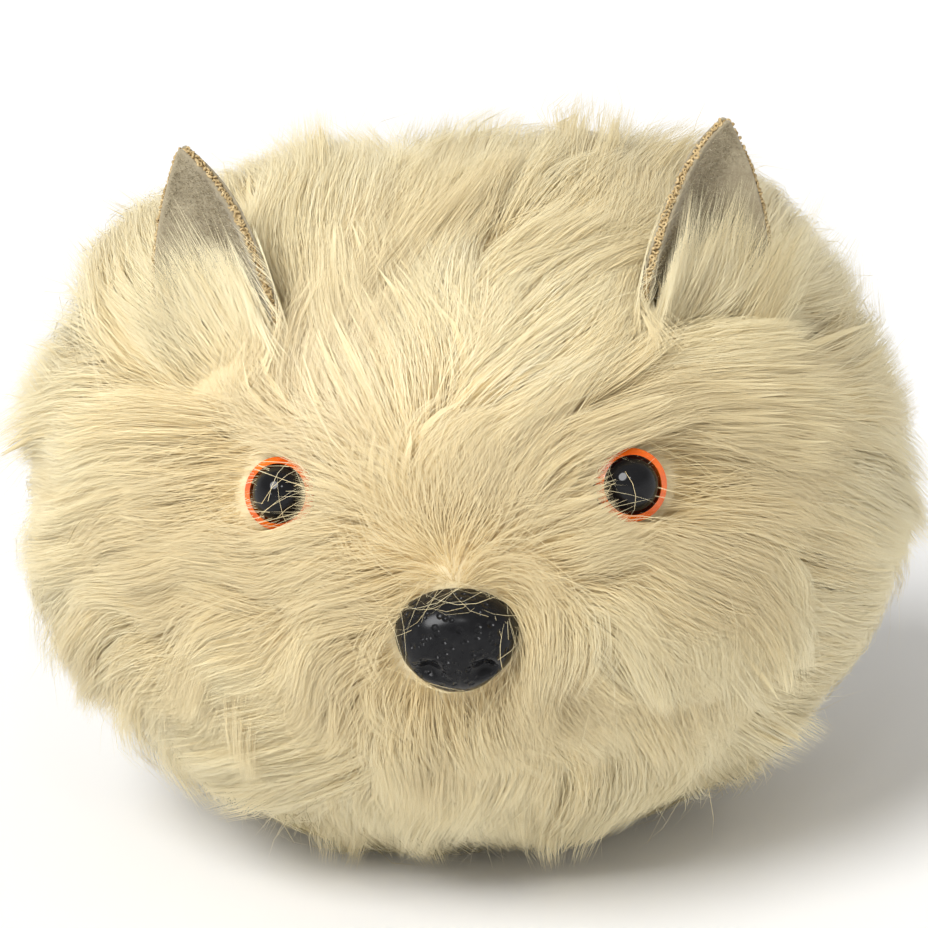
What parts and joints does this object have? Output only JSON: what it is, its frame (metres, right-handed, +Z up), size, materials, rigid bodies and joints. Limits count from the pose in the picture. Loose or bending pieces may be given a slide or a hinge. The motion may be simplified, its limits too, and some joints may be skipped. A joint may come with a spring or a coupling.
{
  "type": "plush dog",
  "caption": "Round plush dog in long cream faux fur, with domed eyes set in orange rings, a moulded black nose and cupped grey ears that bend at the base.",
  "frame": {"origin": "middle of the flat underside, which the toy rests on", "axes": "+Z up, -Y out of the face, +X to the right as seen from the front"},
  "size_m": [0.183, 0.1628, 0.1546],
  "materials": {
    "fur": "long silky cream pile, paler at the tips",
    "fibrefill": "white polyester fibre",
    "thread": "tan sewing thread",
    "eye_black": "polished black moulded plastic",
    "eye_orange": "polished orange moulded plastic",
    "washer_plastic": "natural white polyethylene",
    "nose_black": "semi-gloss black with moulded pores",
    "velour": "short brushed grey velour",
    "knit": "tan looped knit, raw at the edge"
  },
  "bodies": {
    "head": {"fur_crown": "fur", "fur_face": "fur", "fur_chin": "fur", "fur_base": "fur", "fur_back": "fur", "fur_side_left": "fur", "fur_side_right": "fur", "stuffing": "fibrefill", "closing_thread": "thread", "eye_pupil_left": "eye_black", "eye_pupil_right": "eye_black", "eye_stem_left": "eye_black", "eye_stem_right": "eye_black", "eye_iris_left": "eye_orange", "eye_iris_right": "eye_orange", "eye_washer_left": "washer_plastic", "eye_washer_right": "washer_plastic", "nose_washer": "washer_plastic", "nose": "nose_black"},
    "ear_left": {"ear_lining_left": "velour", "ear_knit_left": "knit", "ear_back_left": "velour", "ear_thread_left": "thread"},
    "ear_right": {"ear_lining_right": "velour", "ear_knit_right": "knit", "ear_back_right": "velour", "ear_thread_right": "thread"}
  },
  "joints": [
    {"name": "ear_left_bend", "type": "hinge", "parent": "head", "child": "ear_left", "pos_m": [-0.04373, -0.02653, 0.11918], "axis": [0.8403, -0.4851, 0.2419], "range_deg": [-30, 30], "stiffness_Nm_per_rad": 0.01},
    {"name": "ear_right_bend", "type": "hinge", "parent": "head", "child": "ear_right", "pos_m": [0.04682, -0.02083, 0.12016], "axis": [0.8403, 0.4851, -0.2419], "range_deg": [-30, 30], "stiffness_Nm_per_rad": 0.01}
  ]
}
